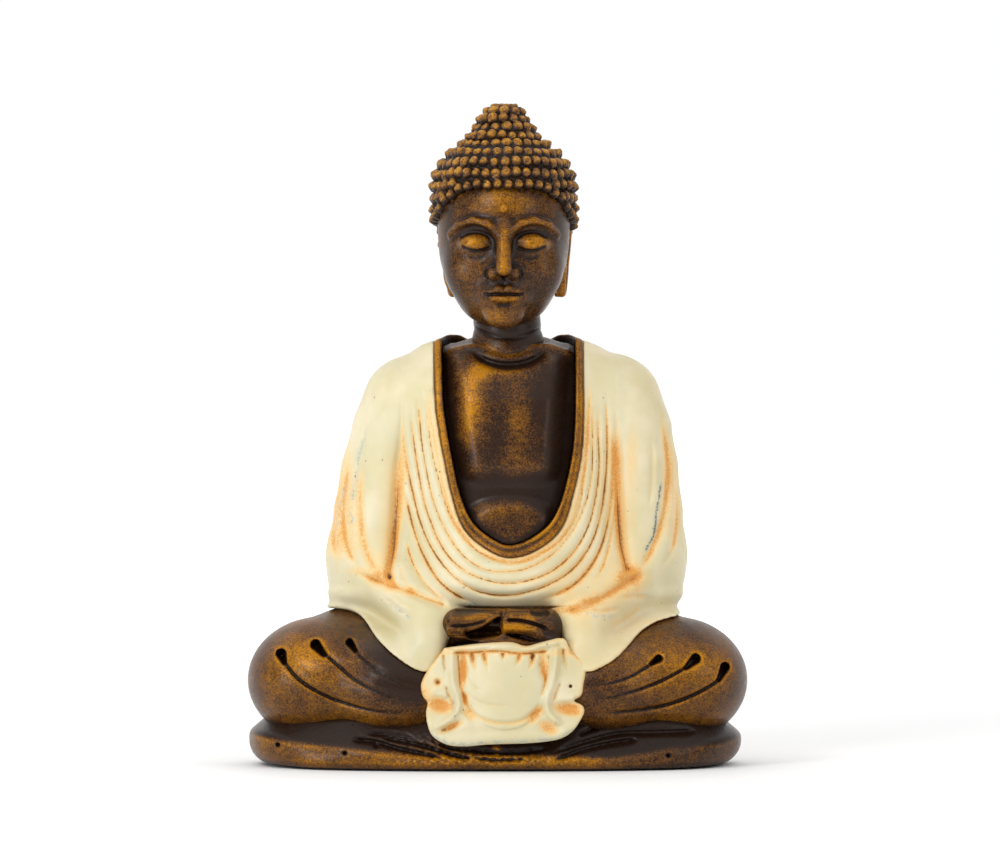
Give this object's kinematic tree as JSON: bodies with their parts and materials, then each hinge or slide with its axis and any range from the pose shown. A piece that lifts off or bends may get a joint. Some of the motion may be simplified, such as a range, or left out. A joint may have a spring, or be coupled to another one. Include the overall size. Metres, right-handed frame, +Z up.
{
  "type": "seated meditation statue",
  "caption": "Seated figure in meditation on a low slab: curled hair with a topknot, long ears, draped open robe, hands in the lap and a pleated cloth over the shins.",
  "frame": {"origin": "middle of the slab's underside, on the surface that the statue stands on", "axes": "+Z up, the figure faces -Y, and the figure's left side is at +X"},
  "size_m": [0.1872, 0.104, 0.25],
  "materials": {
    "bronze_paint": "satin",
    "cream_paint": "satin",
    "hair_paint": "satin"
  },
  "bodies": {
    "root": {"base_slab": "bronze_paint", "right_leg": "bronze_paint", "left_leg": "bronze_paint", "lap_cloth": "cream_paint", "torso_robe": "cream_paint", "right_sleeve": "cream_paint", "left_sleeve": "cream_paint", "neckband": "bronze_paint", "bare_torso": "bronze_paint", "neck": "bronze_paint", "head": "bronze_paint", "forehead_mark": "bronze_paint", "right_ear": "bronze_paint", "left_ear": "bronze_paint", "hair_cap": "hair_paint", "topknot": "hair_paint", "topknot_cap": "hair_paint", "right_hand": "bronze_paint", "left_hand": "bronze_paint"}
  },
  "joints": []
}
